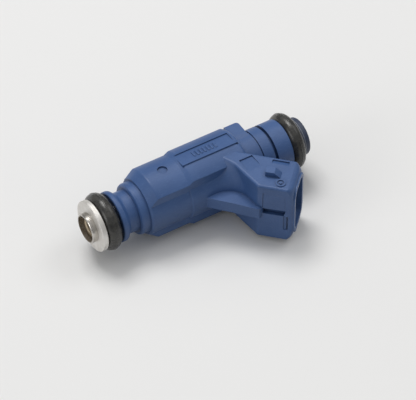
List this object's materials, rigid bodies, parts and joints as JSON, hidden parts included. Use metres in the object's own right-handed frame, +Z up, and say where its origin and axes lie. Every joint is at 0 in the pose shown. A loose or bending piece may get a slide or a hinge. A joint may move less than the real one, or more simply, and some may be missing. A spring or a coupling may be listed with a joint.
{
  "type": "fuel injector",
  "caption": "Port fuel injector with a moulded body, angled side connector, sealing rings at both ends and a metal spray tip.",
  "frame": {"origin": "on the injector axis, in the centre plane of the lower O-ring", "axes": "+X along the injector axis from the spray tip to the fuel inlet, +Z up with the injector lying on its side, the connector pointing to -Y and +X"},
  "size_m": [0.061, 0.0301, 0.0198],
  "materials": {
    "blue_nylon": "satin",
    "black_rubber": "matt",
    "turned_steel": "fine turned",
    "stainless": "satin",
    "spring_steel": "bright",
    "ball_steel": "polished",
    "copper_wire": "enamelled",
    "bobbin_nylon": "matt",
    "soft_iron": "plated",
    "brass": "satin",
    "tin_plate": "bright",
    "filter_nylon": "matt",
    "filter_mesh": "woven"
  },
  "bodies": {
    "injector": {"moulded_housing": "blue_nylon", "inlet_end_ring": "blue_nylon", "upper_o_ring": "black_rubber", "lower_o_ring": "black_rubber", "backing_collar": "blue_nylon", "nozzle_washer": "turned_steel", "valve_body": "stainless", "valve_seat": "stainless", "orifice_plate": "brass", "plate_retainer": "brass", "return_spring": "spring_steel", "adjusting_sleeve": "stainless", "inlet_tube": "stainless", "gap_ring": "stainless", "coil_bobbin": "bobbin_nylon", "coil_winding": "copper_wire", "magnet_can": "soft_iron", "flux_washer": "soft_iron", "terminal_upper": "tin_plate", "terminal_lower": "tin_plate", "filter_ferrule": "brass", "filter_cage": "filter_nylon", "filter_screen": "filter_mesh"},
    "needle_assembly": {"armature": "soft_iron", "valve_needle": "stainless", "valve_ball": "ball_steel"}
  },
  "joints": [
    {"name": "needle_lift", "type": "slide", "parent": "injector", "child": "needle_assembly", "axis": [1, 0, 0], "range_m": [0, 0.00008], "deforming": ["return_spring"]}
  ]
}
